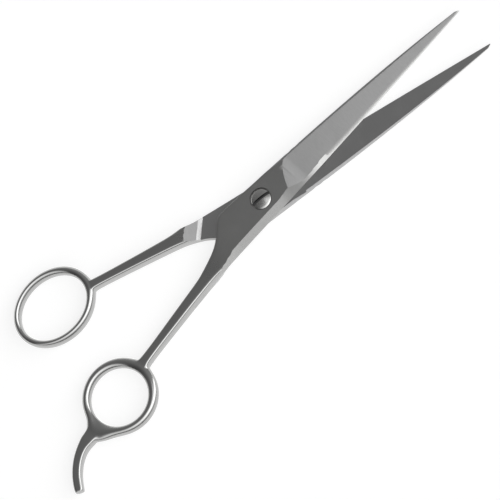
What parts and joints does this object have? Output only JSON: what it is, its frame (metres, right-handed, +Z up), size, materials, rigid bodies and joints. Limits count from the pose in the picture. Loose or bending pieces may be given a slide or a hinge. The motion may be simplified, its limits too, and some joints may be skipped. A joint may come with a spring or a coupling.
{
  "type": "hair cutting shears",
  "caption": "Long straight barber's shears: round finger ring with a curved finger rest, oval thumb ring, slim blades turning on a slotted pivot screw.",
  "frame": {"origin": "on the pivot axis, level with the outer face of the thumb half on which the shears lie", "axes": "+X midway between the two blades to their tips, +Z up through the screw head, +Y to the left of +X, where the thumb ring is"},
  "size_m": [0.2066, 0.0736, 0.0073],
  "materials": {
    "thumb_steel": "polished shank and ring, satin ground blade",
    "finger_steel": "polished shank and ring, satin ground blade",
    "screw_steel": "polished, slot cut"
  },
  "bodies": {
    "thumb_half": {"thumb_half": "thumb_steel"},
    "finger_half": {"finger_half": "finger_steel"},
    "pivot_screw": {"pivot_screw": "screw_steel"}
  },
  "joints": [
    {"name": "blade_pivot", "type": "hinge", "parent": "thumb_half", "child": "finger_half", "pos_m": [0, 0, 0.0034], "axis": [0, 0, 1], "range_deg": [-10, 133]},
    {"name": "tension_screw", "type": "hinge", "parent": "thumb_half", "child": "pivot_screw", "pos_m": [0, 0, 0.0034], "axis": [0, 0, 1], "range_deg": [-90, 90]}
  ]
}
